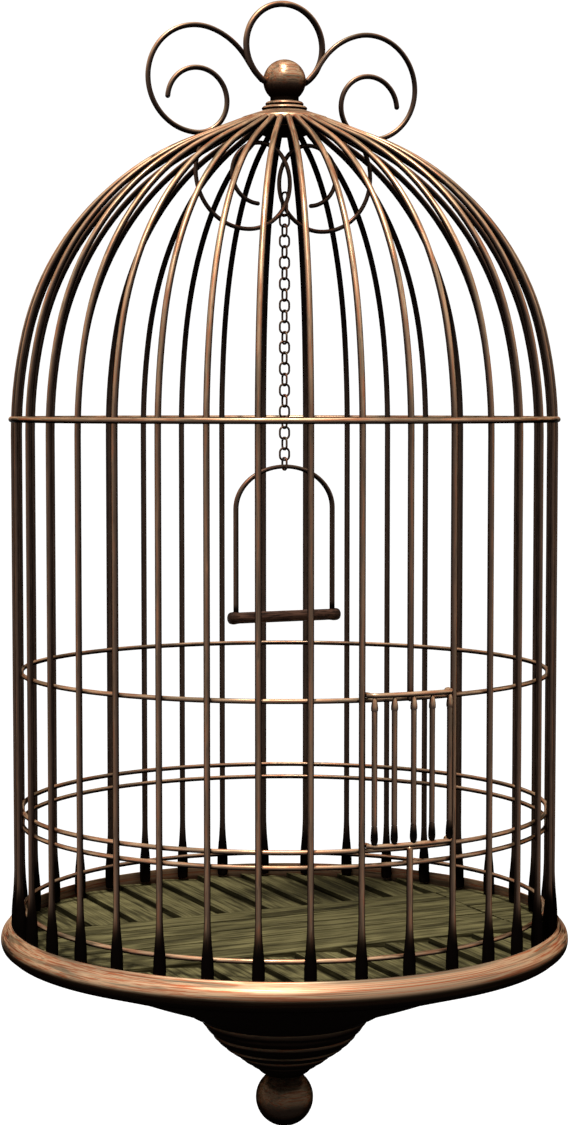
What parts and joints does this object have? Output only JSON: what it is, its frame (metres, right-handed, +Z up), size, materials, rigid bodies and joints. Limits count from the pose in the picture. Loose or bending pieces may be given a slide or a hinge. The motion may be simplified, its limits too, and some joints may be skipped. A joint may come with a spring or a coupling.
{
  "type": "bird cage",
  "caption": "Hanging domed bird cage of bronzed wire bars, with a sliding door, a chained swing, a scrolled hanger and a turned cone base.",
  "frame": {"origin": "where the hook bears, inside the top of the hanging hoop", "axes": "+Z up; X along the hanging hoop, the scrolls and the perch; the door faces -Y"},
  "size_m": [0.396, 0.396, 0.7839],
  "materials": {
    "aged_bronze": "aged copper bronze over steel, satin",
    "dark_bronze": "dark patinated bronze over steel, satin",
    "perch_wood": "turned brown wood",
    "deck_boards": "weathered olive grey boards"
  },
  "bodies": {
    "cage": {"bar_01": "aged_bronze", "bar_02": "aged_bronze", "bar_03": "aged_bronze", "bar_04": "aged_bronze", "bar_05": "aged_bronze", "bar_06": "aged_bronze", "bar_07": "aged_bronze", "bar_08": "aged_bronze", "bar_09": "aged_bronze", "bar_10": "aged_bronze", "bar_11": "aged_bronze", "bar_12": "aged_bronze", "bar_13": "aged_bronze", "bar_14": "aged_bronze", "bar_15": "aged_bronze", "bar_16": "aged_bronze", "bar_17": "aged_bronze", "bar_18": "aged_bronze", "bar_19": "aged_bronze", "bar_20": "aged_bronze", "bar_21": "aged_bronze", "bar_22": "aged_bronze", "bar_23": "aged_bronze", "bar_24": "aged_bronze", "bar_25": "aged_bronze", "bar_26": "aged_bronze", "bar_27": "aged_bronze", "bar_28": "aged_bronze", "bar_29": "aged_bronze", "bar_30": "aged_bronze", "bar_31": "aged_bronze", "bar_32": "aged_bronze", "bar_33": "aged_bronze", "bar_34": "aged_bronze", "bar_35": "aged_bronze", "base_cone": "aged_bronze", "base_rim": "aged_bronze", "crown_ball": "aged_bronze", "crown_hub": "aged_bronze", "deck": "deck_boards", "door_head_bar": "aged_bronze", "door_head_ring": "aged_bronze", "door_sill_bar": "aged_bronze", "door_sill_ring": "aged_bronze", "foot_ball": "aged_bronze", "foot_ring": "aged_bronze", "hanging_hoop": "aged_bronze", "lower_ring": "aged_bronze", "lyre_scroll_left": "dark_bronze", "lyre_scroll_right": "dark_bronze", "outer_scroll_left": "aged_bronze", "outer_scroll_right": "aged_bronze", "shoulder_ring": "aged_bronze"},
    "top_link": {"top_link": "dark_bronze"},
    "upper_chain": {"upper_chain": "dark_bronze"},
    "lower_chain": {"lower_chain": "dark_bronze"},
    "end_link": {"end_link": "dark_bronze"},
    "swing": {"swing_bail": "aged_bronze", "perch": "perch_wood"},
    "door": {"door": "aged_bronze"}
  },
  "joints": [
    {"name": "top_link_rock", "type": "hinge", "parent": "cage", "child": "top_link", "pos_m": [0, 0, -0.12611], "axis": [0, 1, 0], "range_deg": [-3, 3]},
    {"name": "upper_chain_swing", "type": "hinge", "parent": "top_link", "child": "upper_chain", "pos_m": [0, 0, -0.14968], "axis": [1, 0, 0], "range_deg": [-15, 15]},
    {"name": "lower_chain_swing", "type": "hinge", "parent": "upper_chain", "child": "lower_chain", "pos_m": [0, 0, -0.23005], "axis": [0, 1, 0], "range_deg": [-12, 12]},
    {"name": "end_link_swing", "type": "hinge", "parent": "lower_chain", "child": "end_link", "pos_m": [0, 0, -0.31043], "axis": [1, 0, 0], "range_deg": [-15, 15]},
    {"name": "swing_swing", "type": "hinge", "parent": "end_link", "child": "swing", "pos_m": [0, 0, -0.31463], "axis": [1, 0, 0], "range_deg": [-25, 25]},
    {"name": "door_slide", "type": "slide", "parent": "cage", "child": "door", "axis": [0, 0, 1], "range_m": [0, 0.0874]}
  ]
}
